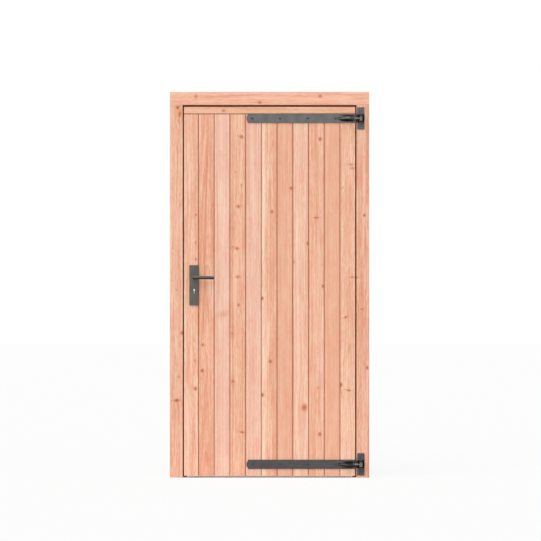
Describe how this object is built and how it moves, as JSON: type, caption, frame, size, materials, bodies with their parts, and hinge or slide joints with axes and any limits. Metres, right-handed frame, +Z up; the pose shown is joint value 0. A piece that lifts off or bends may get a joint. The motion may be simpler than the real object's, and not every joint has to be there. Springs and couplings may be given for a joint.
{
  "type": "wooden door",
  "caption": "Plank door of vertical softwood boards in a post and beam frame, hung on long strap hinges with adjustable eye bolts, with a lever handle on a long plate.",
  "frame": {"origin": "outer side face of the hinge post, at floor level and in the middle of the frame's depth", "axes": "+X out of the hinge post's side into the wall, +Y from the outside of the door to its inside, +Z up"},
  "size_m": [1.09, 0.155, 2.11],
  "materials": {
    "frame_timber": "planed, unfinished",
    "leaf_boards": "planed, unfinished",
    "leaf_rails": "planed, unfinished",
    "hinge_powder_coat": "matt powder coat",
    "handle_coating": "satin powder coat",
    "zinc_plated_steel": "zinc plated"
  },
  "bodies": {
    "frame": {"hinge_post": "frame_timber", "lock_post": "frame_timber", "head_beam": "frame_timber", "hinge_stop": "frame_timber", "lock_stop": "frame_timber", "head_stop": "frame_timber", "strike_plate": "zinc_plated_steel", "top_post_plate": "hinge_powder_coat", "bottom_post_plate": "hinge_powder_coat", "top_hinge_pin": "hinge_powder_coat", "bottom_hinge_pin": "hinge_powder_coat", "top_plate_screws": "hinge_powder_coat", "bottom_plate_screws": "hinge_powder_coat"},
    "leaf": {"board_01": "leaf_boards", "board_02": "leaf_boards", "board_03": "leaf_boards", "board_04": "leaf_boards", "board_05": "leaf_boards", "board_06": "leaf_boards", "board_07": "leaf_boards", "board_08": "leaf_boards", "board_09": "leaf_boards", "board_10": "leaf_boards", "board_11": "leaf_boards", "top_rail": "leaf_rails", "middle_rail": "leaf_rails", "bottom_rail": "leaf_rails", "lock_stile": "leaf_rails", "hinge_stile": "leaf_rails", "upper_brace": "leaf_rails", "lower_brace": "leaf_rails", "top_strap": "hinge_powder_coat", "bottom_strap": "hinge_powder_coat", "top_eye_bolt": "hinge_powder_coat", "bottom_eye_bolt": "hinge_powder_coat", "top_strap_bolts": "hinge_powder_coat", "bottom_strap_bolts": "hinge_powder_coat", "mortise_lock": "zinc_plated_steel", "lock_bolts": "zinc_plated_steel", "outside_plate": "handle_coating", "inside_plate": "handle_coating", "handle_screws": "handle_coating"},
    "lever": {"outside_lever": "handle_coating", "inside_lever": "handle_coating", "spindle": "zinc_plated_steel"}
  },
  "joints": [
    {"name": "leaf_swing", "type": "hinge", "parent": "frame", "child": "leaf", "pos_m": [-0.046, -0.061, 1.019], "axis": [0, 0, 1], "range_deg": [0, 170]},
    {"name": "lever_turn", "type": "hinge", "parent": "leaf", "child": "lever", "pos_m": [-0.958, 0, 1.095], "axis": [0, 1, 0], "range_deg": [0, 40], "stiffness_Nm_per_rad": 1.5, "springref_deg": -28.65}
  ]
}
